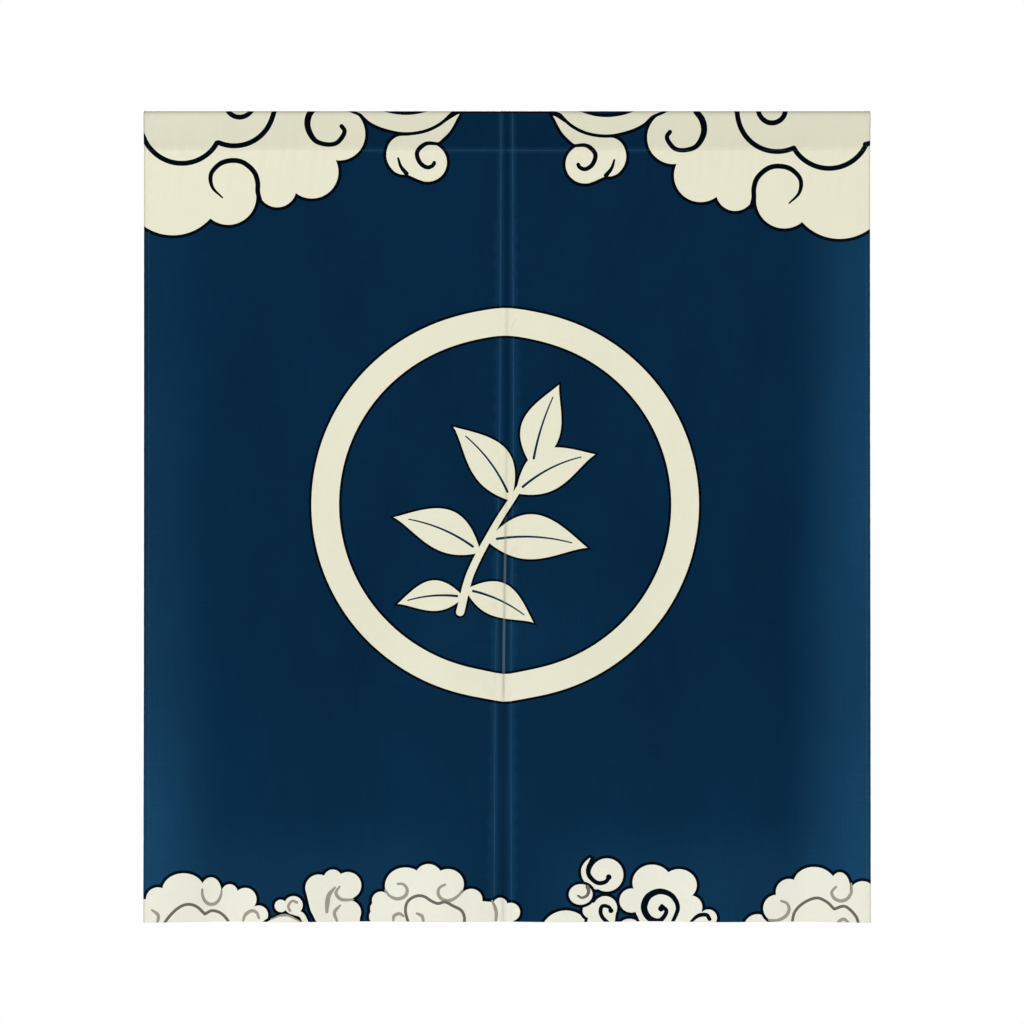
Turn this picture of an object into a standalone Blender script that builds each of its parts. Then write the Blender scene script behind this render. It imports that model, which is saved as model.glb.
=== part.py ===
"""Door curtain: two hemmed cloth panels side by side, each with an empty rod sleeve along its top.

Metres, +Z up. The printed face looks along -Y. The origin is the middle of the top edge, and a
distance below that edge is called a drop.
"""

import math
from collections import namedtuple

import bmesh
import bpy

# Driving sizes
WIDTH = 0.806
HEIGHT = 0.900
CLOTH = 0.0012
TURNED = 0.0022
PIECE_GAP = 0.0003

# Rod sleeve
ROD_SPACE = 0.008
SEAM_DROP = 0.0435
SLEEVE_FOOT = 0.0465
TURNED_EDGE = 0.009
SLEEVE_SLACK = 0.0009
SLACK_VARIES = 0.6
SLACK_PITCH = 0.21

# Slit between the panels
SLIT_TOP_GAP = 0.0003
SLIT_WIDEST = 0.0018
SLIT_WIDEST_DROP = 0.55
SLIT_REACH = 0.40
SLIT_LEAN = 0.0042
LEAN_FROM = 0.30
LEAN_TO = 0.70

# Hems turned to the back, with the sharp step where each one ends
HEM_STEP = 0.0009
FOOT_HEM = 0.006
Hems = namedtuple("Hems", "outer slit_top slit_foot")
HEMS = {
    "left": Hems(outer=0.0055, slit_top=0.0067, slit_foot=0.0102),
    "right": Hems(outer=0.0044, slit_top=0.0062, slit_foot=0.0094),
}

# Soft folds: where each one lies under the sleeve and at the foot, its half width, how far it
# stands forward at the foot (less than zero lies back) and the drop at which it begins
Fold = namedtuple("Fold", "top foot reach stand starts")
FOLDS = {
    "left": (
        Fold(top=-0.403, foot=-0.403, reach=0.085, stand=0.0100, starts=0.36),
        Fold(top=-0.318, foot=-0.306, reach=0.062, stand=-0.0060, starts=0.06),
        Fold(top=-0.228, foot=-0.236, reach=0.052, stand=0.0052, starts=0.16),
        Fold(top=-0.130, foot=-0.142, reach=0.070, stand=-0.0064, starts=0.05),
        Fold(top=-0.058, foot=-0.066, reach=0.036, stand=0.0038, starts=0.22),
        Fold(top=-0.002, foot=-0.006, reach=0.030, stand=-0.0046, starts=0.30),
    ),
    "right": (
        Fold(top=0.002, foot=-0.003, reach=0.026, stand=-0.0034, starts=0.24),
        Fold(top=0.070, foot=0.058, reach=0.050, stand=0.0050, starts=0.10),
        Fold(top=0.152, foot=0.161, reach=0.066, stand=-0.0066, starts=0.05),
        Fold(top=0.246, foot=0.238, reach=0.048, stand=0.0048, starts=0.20),
        Fold(top=0.322, foot=0.330, reach=0.050, stand=-0.0050, starts=0.08),
        Fold(top=0.403, foot=0.403, reach=0.074, stand=0.0115, starts=0.07),
    ),
}

# How finely each surface is divided
PANEL_COLUMNS = 32
PANEL_ROWS = 25
SLEEVE_STATIONS = 8
ARC_STEPS = 16
SIDE_STEPS = 5

# Colours of the print, linear
NAVY = (0.0028, 0.0203, 0.0560)
NAVY_SLEEVE = (0.0027, 0.0176, 0.0470)


def smooth(value, low, high):
    """Rise softly from 0 at low to 1 at high."""
    t = min(max((value - low) / (high - low), 0.0), 1.0)
    return t * t * (3.0 - 2.0 * t)


def bell(distance, reach):
    """A hump that is 1 at its middle and 0 past its reach."""
    if abs(distance) >= reach:
        return 0.0
    return 0.5 + 0.5 * math.cos(math.pi * distance / reach)


def slit_middle(drop):
    """The slit leans a little to the left on its way down."""
    return -SLIT_LEAN * smooth(drop, LEAN_FROM, LEAN_TO)


def slit_gap(drop):
    """The slit is closed at the sleeve and opens most below the middle."""
    return SLIT_TOP_GAP + (SLIT_WIDEST - SLIT_TOP_GAP) * bell(drop - SLIT_WIDEST_DROP, SLIT_REACH)


def stand_forward(side, x, drop):
    """How far the cloth stands forward of the flat at one point."""
    total = 0.0
    for fold in FOLDS[side]:
        down = smooth(drop, 0.0, HEIGHT)
        middle = fold.top + (fold.foot - fold.top) * down
        growth = smooth(drop, max(fold.starts, SLEEVE_FOOT), HEIGHT + fold.starts)
        full = smooth(HEIGHT, max(fold.starts, SLEEVE_FOOT), HEIGHT + fold.starts)
        total += fold.stand * bell(x - middle, fold.reach) * growth / full
    return total


def panel_stations(side, drop):
    """The places across one row, from left to right, with the hem lines among them."""
    hems = HEMS[side]
    outward = -1.0 if side == "left" else 1.0
    outer = outward * WIDTH / 2
    slit = slit_middle(drop) + outward * slit_gap(drop) / 2
    slit_hem = hems.slit_top + (hems.slit_foot - hems.slit_top) * drop / HEIGHT
    outer_flat = outer - outward * (hems.outer + HEM_STEP)
    slit_flat = slit + outward * (slit_hem + HEM_STEP)
    stations = [(outer, True), (outer - outward * hems.outer, True)]
    for i in range(PANEL_COLUMNS + 1):
        part = i / PANEL_COLUMNS
        stations.append((outer_flat + (slit_flat - outer_flat) * part, False))
    stations += [(slit + outward * slit_hem, True), (slit, True)]
    return sorted(stations)


def panel_drops():
    """The rows of a panel from its top to its foot, with the foot hem's line among them."""
    top = SLEEVE_FOOT + PIECE_GAP
    flat_end = HEIGHT - FOOT_HEM - HEM_STEP
    drops = [(top + (flat_end - top) * i / PANEL_ROWS, False) for i in range(PANEL_ROWS + 1)]
    drops += [(HEIGHT - FOOT_HEM, True), (HEIGHT, True)]
    return drops


def cloth_material(name, colour):
    """Matt printed canvas."""
    material = bpy.data.materials.new(name)
    material.use_nodes = True
    shader = material.node_tree.nodes["Principled BSDF"]
    shader.inputs["Base Color"].default_value = (*colour, 1.0)
    shader.inputs["Roughness"].default_value = 0.9
    shader.inputs["Metallic"].default_value = 0.0
    return material


def add_object(name, mesh, material):
    """Link a mesh to the scene under its node's name."""
    mesh.materials.append(material)
    obj = bpy.data.objects.new(name, mesh)
    bpy.context.scene.collection.objects.link(obj)
    return obj


def make_panel(side):
    """One hanging sheet. Solidify gives it its back, thicker where a hem is turned."""
    bm = bmesh.new()
    rows = []
    turned = []
    for drop, foot_turned in panel_drops():
        row = []
        for x, side_turned in panel_stations(side, drop):
            y = -CLOTH - stand_forward(side, x, drop)
            vert = bm.verts.new((x, y, -drop))
            row.append(vert)
            if foot_turned or side_turned:
                turned.append(vert)
        rows.append(row)
    bm.verts.index_update()
    turned_indices = [vert.index for vert in turned]
    for upper, lower in zip(rows, rows[1:]):
        for i in range(len(upper) - 1):
            bm.faces.new((upper[i], lower[i], lower[i + 1], upper[i + 1]))
    mesh = bpy.data.meshes.new(f"panel_{side}")
    bm.to_mesh(mesh)
    bm.free()

    panel = add_object(f"panel_{side}", mesh, cloth_material(f"{side} panel cloth", NAVY))
    hem_group = panel.vertex_groups.new(name="hem")
    hem_group.add(turned_indices, 1.0, "REPLACE")
    layer = panel.modifiers.new("cloth thickness", "SOLIDIFY")
    layer.thickness = TURNED
    layer.offset = -1.0
    layer.vertex_group = hem_group.name
    layer.thickness_vertex_group = CLOTH / TURNED
    return panel


def sleeve_section(x):
    """The inner and outer outline of the sleeve in the Y-Z plane, front first and over the top.

    The cloth runs round a rod's space and then straight down to the seam on both sides, with a
    little slack that differs along the sleeve.
    """
    centre_z = -(CLOTH + ROD_SPACE)
    lean = math.asin(ROD_SPACE / (SEAM_DROP + centre_z))
    straight = math.sqrt((SEAM_DROP + centre_z) ** 2 - ROD_SPACE ** 2)
    slack = SLEEVE_SLACK * (1.0 + SLACK_VARIES * math.sin(math.tau * x / SLACK_PITCH))

    inner = []
    outer = []

    def add_side_point(facing, i, thickness):
        """A point on the front side (facing -1) or the back side (facing 1), i steps up."""
        up = straight * i / SIDE_STEPS
        bulge = slack * math.sin(math.pi * i / SIDE_STEPS)
        normal = (facing * math.cos(lean), -math.sin(lean))
        along = (facing * math.sin(lean), math.cos(lean))
        y = along[0] * up + normal[0] * bulge
        z = -SEAM_DROP + along[1] * up + normal[1] * bulge
        inner.append((y, z))
        outer.append((y + normal[0] * thickness, z + normal[1] * thickness))

    for i in range(SIDE_STEPS):
        add_side_point(-1.0, i, CLOTH)
    for i in range(ARC_STEPS + 1):
        angle = math.pi + lean - (math.pi + 2 * lean) * i / ARC_STEPS
        y = math.cos(angle)
        z = math.sin(angle)
        inner.append((ROD_SPACE * y, centre_z + ROD_SPACE * z))
        outer.append(((ROD_SPACE + CLOTH) * y, centre_z + (ROD_SPACE + CLOTH) * z))
    for i in reversed(range(SIDE_STEPS)):
        in_turned_edge = straight * i / SIDE_STEPS < TURNED_EDGE
        add_side_point(1.0, i, TURNED if in_turned_edge else CLOTH)

    inner.pop()
    outer.insert(0, (-CLOTH, -SLEEVE_FOOT))
    outer.append((TURNED, -SLEEVE_FOOT))
    return inner, outer


def make_sleeve(side):
    """The empty sleeve of one panel, lofted through sections along the rod's direction."""
    outward = -1.0 if side == "left" else 1.0
    ends = sorted((outward * WIDTH / 2, outward * PIECE_GAP / 2))
    bm = bmesh.new()
    loops = []
    for i in range(SLEEVE_STATIONS + 1):
        x = ends[0] + (ends[1] - ends[0]) * i / SLEEVE_STATIONS
        inner, outer = sleeve_section(x)
        inner_verts = [bm.verts.new((x, y, z)) for y, z in inner]
        outer_verts = [bm.verts.new((x, y, z)) for y, z in outer]
        loops.append((inner_verts, outer_verts))

    for (inner_a, outer_a), (inner_b, outer_b) in zip(loops, loops[1:]):
        for near, far in ((inner_a, inner_b), (outer_a, outer_b)):
            count = len(near)
            for i in range(count):
                j = (i + 1) % count
                bm.faces.new((near[i], far[i], far[j], near[j]))

    for inner_verts, outer_verts in (loops[0], loops[-1]):
        count = len(inner_verts)
        for i in range(count):
            j = (i + 1) % count
            bm.faces.new((outer_verts[i + 1], outer_verts[i + 2], inner_verts[j], inner_verts[i]))
        bm.faces.new((outer_verts[0], outer_verts[1], inner_verts[0], outer_verts[-2], outer_verts[-1]))

    bmesh.ops.recalc_face_normals(bm, faces=bm.faces)
    mesh = bpy.data.meshes.new(f"sleeve_{side}")
    bm.to_mesh(mesh)
    bm.free()
    return add_object(f"sleeve_{side}", mesh, cloth_material(f"{side} sleeve cloth", NAVY_SLEEVE))


def clear_scene():
    """Start from an empty scene."""
    for obj in list(bpy.data.objects):
        bpy.data.objects.remove(obj, do_unlink=True)


def main():
    """Build both panels and both sleeves."""
    clear_scene()
    for side in ("left", "right"):
        make_panel(side)
        make_sleeve(side)


main()
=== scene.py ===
# %% [markdown]
# # A hanging door curtain, dressed
# A door curtain is two lengths of printed canvas that hang side by side from one rod. The solids
# that hold its size and its folds are loaded first, and every measure below is taken from them or
# is a real size of the curtain. Z is up, the printed face looks along -Y, and a distance below the
# top edge is called a drop. Lengths on the cloth are millimetres until its meshes are made. The
# camera, the lamps and the floor stand in metres.

# %% Load the solids
import math
from collections import namedtuple

import bpy
import numpy as np
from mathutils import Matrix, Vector, kdtree
from mathutils.geometry import delaunay_2d_cdt


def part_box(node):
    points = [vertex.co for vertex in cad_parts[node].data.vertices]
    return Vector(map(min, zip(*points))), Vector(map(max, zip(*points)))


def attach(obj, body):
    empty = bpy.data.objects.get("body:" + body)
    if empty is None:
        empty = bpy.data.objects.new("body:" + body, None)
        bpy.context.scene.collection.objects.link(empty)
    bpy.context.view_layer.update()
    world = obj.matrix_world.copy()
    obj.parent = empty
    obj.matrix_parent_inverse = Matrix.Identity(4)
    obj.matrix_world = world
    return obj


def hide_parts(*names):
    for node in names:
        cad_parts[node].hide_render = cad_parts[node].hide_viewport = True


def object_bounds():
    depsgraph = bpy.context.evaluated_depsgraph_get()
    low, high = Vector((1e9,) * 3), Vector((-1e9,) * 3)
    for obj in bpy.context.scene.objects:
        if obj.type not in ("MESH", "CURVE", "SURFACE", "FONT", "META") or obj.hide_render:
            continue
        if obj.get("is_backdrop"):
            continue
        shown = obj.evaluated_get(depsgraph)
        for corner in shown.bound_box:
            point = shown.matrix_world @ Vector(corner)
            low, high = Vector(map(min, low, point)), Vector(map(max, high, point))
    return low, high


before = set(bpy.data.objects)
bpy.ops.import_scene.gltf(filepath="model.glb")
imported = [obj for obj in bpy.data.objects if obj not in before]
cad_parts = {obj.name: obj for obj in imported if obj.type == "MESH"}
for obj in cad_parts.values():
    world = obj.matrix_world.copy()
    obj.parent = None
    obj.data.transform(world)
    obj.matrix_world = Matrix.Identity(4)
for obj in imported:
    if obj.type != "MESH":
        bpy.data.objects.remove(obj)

cad_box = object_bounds()
panel_low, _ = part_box("panel_left")
sleeve_low, sleeve_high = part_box("sleeve_left")
HALF_WIDTH = -1000 * panel_low[0]
HEIGHT = -1000 * panel_low[2]
SLEEVE_FOOT = -1000 * sleeve_low[2]
print("half width, height and sleeve depth in mm:", HALF_WIDTH, HEIGHT, SLEEVE_FOOT)

# %% [markdown]
# ## The camera and the room
# The photo is a straight front view in which nothing converges, so the camera stands far back with
# a long lens. Its place follows from how wide the curtain is in the picture and how far its middle
# lies from the picture's middle.

# %% Camera
PICTURE_SIDE = 1024
CURTAIN_LEFT_PX = 144
CURTAIN_RIGHT_PX = 870
CURTAIN_TOP_PX = 111
CURTAIN_FOOT_PX = 922
CAMERA_DISTANCE = 5.2

metres_per_px = 2 * HALF_WIDTH / 1000 / (CURTAIN_RIGHT_PX - CURTAIN_LEFT_PX)
middle_right = (CURTAIN_LEFT_PX + CURTAIN_RIGHT_PX - PICTURE_SIDE) / 2 * metres_per_px
middle_down = (CURTAIN_TOP_PX + CURTAIN_FOOT_PX - PICTURE_SIDE) / 2 * metres_per_px
camera_data = bpy.data.cameras.new("camera")
camera_data.sensor_width = 36.0
camera_data.lens = 36.0 * CAMERA_DISTANCE / (PICTURE_SIDE * metres_per_px)
camera = bpy.data.objects.new("camera", camera_data)
camera.location = (-middle_right, -CAMERA_DISTANCE, -HEIGHT / 2000 + middle_down)
camera.rotation_euler = (math.pi / 2, 0.0, 0.0)
bpy.context.scene.collection.objects.link(camera)
bpy.context.scene.camera = camera
print("lens in mm:", round(camera_data.lens, 1))

# %% [markdown]
# The light is a pale room with two big soft lamps. The left one is stronger and stands to the side,
# because a fold this shallow shows only where light comes across it. The floor lies where a door
# has its sill, far under the curtain's foot.

# %% Light and floor
WHITE = (1.0, 1.0, 1.0, 1.0)
ROOM_LIGHT = 0.66
ROOM_SEEN = 1.0
FLOOR_DROP = 1.95
FLOOR_BACK = 0.6
FLOOR_SIDE = 6.0


def add_lamp(name, place, size, power):
    """A square soft lamp that looks at the middle of the curtain."""
    data = bpy.data.lights.new(name, "AREA")
    data.size = size
    data.energy = power
    lamp = bpy.data.objects.new(name, data)
    lamp.location = place
    toward = Vector((0.0, 0.0, -HEIGHT / 2000)) - Vector(place)
    lamp.rotation_euler = toward.to_track_quat("-Z", "Y").to_euler()
    bpy.context.scene.collection.objects.link(lamp)


add_lamp("key lamp", place=(-3.4, -2.6, 0.9), size=1.6, power=73.0)
add_lamp("fill lamp", place=(3.0, -3.6, 0.2), size=2.2, power=48.0)

world = bpy.data.worlds.new("pale room")
bpy.context.scene.world = world
world.use_nodes = True
world_nodes = world.node_tree.nodes
room = world_nodes["Background"]
room.inputs["Color"].default_value = WHITE
room.inputs["Strength"].default_value = ROOM_LIGHT
seen = world_nodes.new("ShaderNodeBackground")
seen.inputs["Color"].default_value = WHITE
seen.inputs["Strength"].default_value = ROOM_SEEN
mix = world_nodes.new("ShaderNodeMixShader")
ray = world_nodes.new("ShaderNodeLightPath")
world.node_tree.links.new(ray.outputs["Is Camera Ray"], mix.inputs["Fac"])
world.node_tree.links.new(room.outputs["Background"], mix.inputs[1])
world.node_tree.links.new(seen.outputs["Background"], mix.inputs[2])
world.node_tree.links.new(mix.outputs["Shader"], world_nodes["World Output"].inputs["Surface"])

bpy.ops.mesh.primitive_plane_add(size=FLOOR_SIDE, location=(0.0, FLOOR_BACK, -FLOOR_DROP))
floor = bpy.context.object
floor.name = "floor"
floor_material = bpy.data.materials.new("pale floor")
floor_material.use_nodes = True
floor_shader = floor_material.node_tree.nodes["Principled BSDF"]
floor_shader.inputs["Base Color"].default_value = (0.86, 0.86, 0.85, 1.0)
floor_shader.inputs["Roughness"].default_value = 0.8
floor.data.materials.append(floor_material)
floor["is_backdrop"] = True
bpy.context.scene.view_settings.view_transform = "Standard"
print("lamps:", [obj.name for obj in bpy.data.objects if obj.type == "LIGHT"])

# %% [markdown]
# ## How the cloth hangs
# A sheet of cloth can be simulated, sculpted, or described by one function that gives each place on
# the flat cloth its place in the room. A function is right here, because these folds are shallow
# and the solids have them already. A place on the cloth is (x, v): v is the drop on the printed
# front, 0 on the crest of the sleeve, and less than 0 on the part turned over to the back.

# %% Fold table
Fold = namedtuple("Fold", "top foot reach stand starts")
FOLDS = {
    "left": (
        Fold(top=-403, foot=-403, reach=85, stand=10.0, starts=360),
        Fold(top=-318, foot=-306, reach=62, stand=-6.0, starts=60),
        Fold(top=-228, foot=-236, reach=52, stand=5.2, starts=160),
        Fold(top=-130, foot=-142, reach=70, stand=-6.4, starts=50),
        Fold(top=-58, foot=-66, reach=36, stand=3.8, starts=220),
        Fold(top=-2, foot=-6, reach=30, stand=-4.6, starts=300),
    ),
    "right": (
        Fold(top=2, foot=-3, reach=26, stand=-3.4, starts=240),
        Fold(top=70, foot=58, reach=50, stand=5.0, starts=100),
        Fold(top=152, foot=161, reach=66, stand=-6.6, starts=50),
        Fold(top=246, foot=238, reach=48, stand=4.8, starts=200),
        Fold(top=322, foot=330, reach=50, stand=-5.0, starts=80),
        Fold(top=403, foot=403, reach=74, stand=11.5, starts=70),
    ),
}


def smooth(value, low, high):
    """Rise softly from 0 at low to 1 at high."""
    t = np.clip((value - low) / (high - low), 0.0, 1.0)
    return t * t * (3.0 - 2.0 * t)


def bell(distance, reach):
    """A hump that is 1 at its middle and 0 past its reach."""
    return 0.5 + 0.5 * np.cos(math.pi * np.clip(distance / reach, -1.0, 1.0))


def folds_forward(side, x, drop):
    """The main folds, as far forward of the flat as on the solids."""
    total = np.zeros_like(x)
    down = smooth(drop, 0.0, HEIGHT)
    for fold in FOLDS[side]:
        middle = fold.top + (fold.foot - fold.top) * down
        starts = max(fold.starts, SLEEVE_FOOT)
        growth = smooth(drop, starts, HEIGHT + fold.starts)
        growth = growth / smooth(HEIGHT, starts, HEIGHT + fold.starts)
        total += fold.stand * bell(x - middle, fold.reach) * growth
    return total


print("folds:", {side: len(folds) for side, folds in FOLDS.items()})

# %% [markdown]
# The slit isn't quite plumb: it leans to the left on its way down. Its two edges hang against each
# other. A hem is the cloth's own edge turned to the back and sewn down, so a stitch line runs
# beside each edge. The slit's hems were turned wider towards the foot.

# %% Panel edges and stitch lines
SLIT_LEAN = 4.2
LEAN_FROM = 300.0
LEAN_TO = 700.0
SLIT_PRESS = 0.1
Lines = namedtuple("Lines", "outer slit_top slit_foot")
STITCH_LINES = {
    "left": Lines(outer=5.5, slit_top=6.7, slit_foot=10.2),
    "right": Lines(outer=4.4, slit_top=6.2, slit_foot=9.4),
}
SEAM = 43.5
OUTWARD = {"left": -1.0, "right": 1.0}


def slit_edge(side, v):
    """Where a panel's slit edge lies."""
    middle = -SLIT_LEAN * smooth(np.maximum(v, 0.0), LEAN_FROM, LEAN_TO)
    return middle - OUTWARD[side] * SLIT_PRESS


def slit_stitch_inset(side, v):
    """How far the slit's stitch line lies from the slit's edge."""
    lines = STITCH_LINES[side]
    return lines.slit_top + (lines.slit_foot - lines.slit_top) * np.maximum(v, 0.0) / HEIGHT


def from_outer(side, x):
    """Distance in from the outer edge."""
    return HALF_WIDTH - OUTWARD[side] * x


def from_slit(side, x, v):
    """Distance in from the slit's edge."""
    return OUTWARD[side] * (x - slit_edge(side, v))


for side in OUTWARD:
    print(side, "panel's width in mm:", round(float(from_outer(side, slit_edge(side, 450.0))), 1))

# %% [markdown]
# A seam draws the cloth in and makes it pucker: small uneven waves that die away within a few
# centimetres. The waves are sums of sines whose pitches don't divide into each other, so they never
# repeat and need no random numbers. Each row of stitches also pulls a fine groove.

# %% Puckers and grooves
SEAM_PUCKER = 0.50
OUTER_PUCKER = 0.32
SLIT_PUCKER = 0.40
WAVE_ACROSS = 0.60
WAVE_DOWN = 0.45
Groove = namedtuple("Groove", "deep wide")
SEAM_GROOVE = Groove(deep=0.16, wide=1.1)
OUTER_GROOVE = Groove(deep=0.18, wide=0.8)
SLIT_GROOVE = Groove(deep=0.20, wide=0.8)


def ripple(place, pitches):
    """Uneven waves along a line, from -1 to 1."""
    total = np.zeros_like(place)
    for i, pitch in enumerate(pitches):
        total += np.sin(math.tau * place / pitch + 1.7 * i)
    return total / len(pitches)


def puckers(side, x, drop):
    """How far seams, hems and soft waviness push the cloth forward."""
    below = np.exp(-np.maximum(drop - SEAM, 0.0) / 28.0)
    above = np.exp(-np.maximum(SEAM - drop, 0.0) / 9.0)
    push = SEAM_PUCKER * ripple(x + 0.1 * drop, (11.3, 17.9, 29.3)) * below * above
    along = drop + (40.0 if side == "left" else 0.0)
    outer = from_outer(side, x) - STITCH_LINES[side].outer
    slit = from_slit(side, x, drop) - slit_stitch_inset(side, drop)
    hem_pucker = OUTER_PUCKER * ripple(along + 2.0 * outer, (13.7, 21.1, 37.0))
    push += hem_pucker * np.exp(-np.abs(outer) / 9.0)
    hem_pucker = SLIT_PUCKER * ripple(along + 2.5 * slit, (12.1, 19.3, 41.0))
    push += hem_pucker * np.exp(-np.abs(slit) / 11.0)
    push += WAVE_ACROSS * ripple(x + 0.35 * drop, (141.0, 229.0)) * smooth(drop, 60.0, 420.0)
    push += WAVE_DOWN * ripple(drop - 0.5 * x, (173.0, 97.0)) * smooth(drop, 60.0, 300.0)
    return push


def groove_depth(groove, distance):
    """Depth of a groove at a distance from its middle."""
    return groove.deep * np.exp(-((distance / groove.wide) ** 2))


def stitch_pull(side, x, v):
    """How deep the rows of stitches draw the cloth in."""
    outer = from_outer(side, x) - STITCH_LINES[side].outer
    slit = from_slit(side, x, v) - slit_stitch_inset(side, v)
    pull = groove_depth(SEAM_GROOVE, np.abs(v) - SEAM)
    pull += groove_depth(OUTER_GROOVE, outer)
    pull += groove_depth(SLIT_GROOVE, slit)
    return pull


under_seam = puckers("right", np.linspace(60.0, 340.0, 200), np.full(200, SEAM + 2.0))
print("puckers under the seam, in mm:", under_seam.min().round(2), "to", under_seam.max().round(2))

# %% [markdown]
# The sleeve is the top of the panel turned over to the back and sewn down. Cloth round a rod runs
# straight up from the seam, over the crest and straight down again. So its section is two tangents
# and an arc, found from how far out the seam lies and from the circle of the crest.

# %% The sleeve's section
LAYER = 0.5
HEM_LAYERS = 1.05
FRONT_OUT = 1.2
BACK_OUT = LAYER + HEM_LAYERS + 0.05 - FRONT_OUT
CREST_RADIUS = 500 * (sleeve_high[1] - sleeve_low[1])
SLACK = 0.9
Side = namedtuple("Side", "seam_out tangent run bend")


def sleeve_side(seam_out):
    """One side of the sleeve, from how far out its seam lies: the tangent's angle and the lengths."""
    down = SEAM - CREST_RADIUS
    reach = math.hypot(seam_out, down)
    tangent = math.atan2(-down, seam_out) + math.acos(CREST_RADIUS / reach)
    run = math.sqrt(reach**2 - CREST_RADIUS**2)
    return Side(seam_out, tangent, run, CREST_RADIUS * (math.pi / 2 - tangent))


FRONT_SIDE = sleeve_side(FRONT_OUT)
BACK_SIDE = sleeve_side(BACK_OUT)


def sleeve_place(x, v):
    """Place (out from the middle, up) on the sleeve, and the outward direction there."""
    seam_out, tangent, run, bend = [np.where(v > 0, *pair) for pair in zip(FRONT_SIDE, BACK_SIDE)]
    length = (1.0 - np.clip(np.abs(v) / SEAM, 0.0, 1.0)) * (run + bend)
    part = np.clip(length / run, 0.0, 1.0)
    angle = tangent + np.maximum(length - run, 0.0) / CREST_RADIUS
    slack = SLACK * (1.0 + 0.6 * np.sin(math.tau * x / 210.0)) * np.sin(math.pi * part)
    out = seam_out + (CREST_RADIUS * np.cos(tangent) - seam_out) * part
    up = -SEAM + (CREST_RADIUS * (np.sin(tangent) - 1.0) + SEAM) * part
    out = np.where(part < 1.0, out + slack * np.cos(tangent), CREST_RADIUS * np.cos(angle))
    up = np.where(part < 1.0, up + slack * np.sin(tangent), CREST_RADIUS * (np.sin(angle) - 1.0))
    return out, up - np.maximum(-v - SEAM, 0.0), np.cos(angle), np.sin(angle)


front_length = FRONT_SIDE.run + FRONT_SIDE.bend
back_length = BACK_SIDE.run + BACK_SIDE.bend + SLEEVE_FOOT - SEAM
print("cloth in the sleeve, front and back, in mm:", round(front_length, 1), round(back_length, 1))

# %% [markdown]
# Now the printed face as a whole. On the sleeve's back the puckers must follow the front's, since
# one seam holds both, so their sign turns over on the way down. The direction straight out of the
# face comes from two short steps along it.

# %% The printed face
NUDGE = 0.05


def printed_face(side, x, v):
    """The place of the printed face."""
    out, up, out_share, up_share = sleeve_place(x, np.minimum(v, SEAM))
    facing = np.where(v > 0, -1.0, 1.0)
    push = puckers(side, x, np.abs(v))
    pull = stitch_pull(side, x, v)
    shift = push * (1.0 - 2.0 * smooth(-v, 22.0, SEAM)) - pull
    forward = FRONT_OUT + folds_forward(side, x, np.maximum(v, SLEEVE_FOOT)) + push - pull
    y = np.where(v >= SEAM, -forward, facing * (out + out_share * shift))
    z = np.where(v >= SEAM, -v, up + up_share * shift)
    return np.stack([x, y, z], axis=-1)


def face_steps(face, side, x, v):
    """Unit steps along a face of the cloth: to the right, and up over the crest."""
    right = face(side, x + NUDGE, v) - face(side, x - NUDGE, v)
    upward = face(side, x, v - NUDGE) - face(side, x, v + NUDGE)
    right /= np.linalg.norm(right, axis=-1, keepdims=True)
    upward /= np.linalg.norm(upward, axis=-1, keepdims=True)
    return right, upward


def outward(face, side, x, v):
    """The direction straight out of the printed side of a face."""
    normal = np.cross(*face_steps(face, side, x, v))
    return normal / np.linalg.norm(normal, axis=-1, keepdims=True)


foot_corner = printed_face("right", np.array([HALF_WIDTH]), np.array([HEIGHT]))
print("outer foot corner of the right panel in mm:", foot_corner.round(1))

# %% [markdown]
# Cloth has two faces. The reverse lies one layer behind the print, or two where a hem is turned and
# where the sleeve's raw edge is tucked under. At an edge the cloth is folded, so both faces curve
# in to meet there.

# %% Thickness
PAST_STITCH = 1.3
FOOT_HEM = 7.0
TUCKED = 9.0
HEM_STEP = 0.5
PRESSED = 1.6
SLEEVE_END = -SLEEVE_FOOT


def to_edges(side, x, v):
    """Distances to the outer edge, the slit, the foot and the sleeve's end."""
    edges = [from_outer(side, x), from_slit(side, x, v), HEIGHT - v, v - SLEEVE_END]
    return np.maximum(edges, 0.0)


def hem_widths(side, v):
    """How wide the cloth is doubled along the outer edge, the slit, the foot and the sleeve's end."""
    outer = np.full_like(v, STITCH_LINES[side].outer + PAST_STITCH)
    slit = slit_stitch_inset(side, v) + PAST_STITCH
    return np.array([outer, slit, np.full_like(v, FOOT_HEM), np.full_like(v, TUCKED)])


def layers(side, x, v):
    """Thickness at a place: doubled on a hem, and pressed thinner by a row of stitches."""
    past_hem = (to_edges(side, x, v) - hem_widths(side, v)) / HEM_STEP
    doubled = (1.0 - smooth(past_hem, 0.0, 1.0)).max(axis=0)
    return LAYER + (HEM_LAYERS - LAYER) * doubled - PRESSED * stitch_pull(side, x, v)


def reverse_face(side, x, v):
    """The place of the reverse, one thickness behind the print."""
    behind = outward(printed_face, side, x, v) * layers(side, x, v)[:, None]
    return printed_face(side, x, v) - behind


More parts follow.
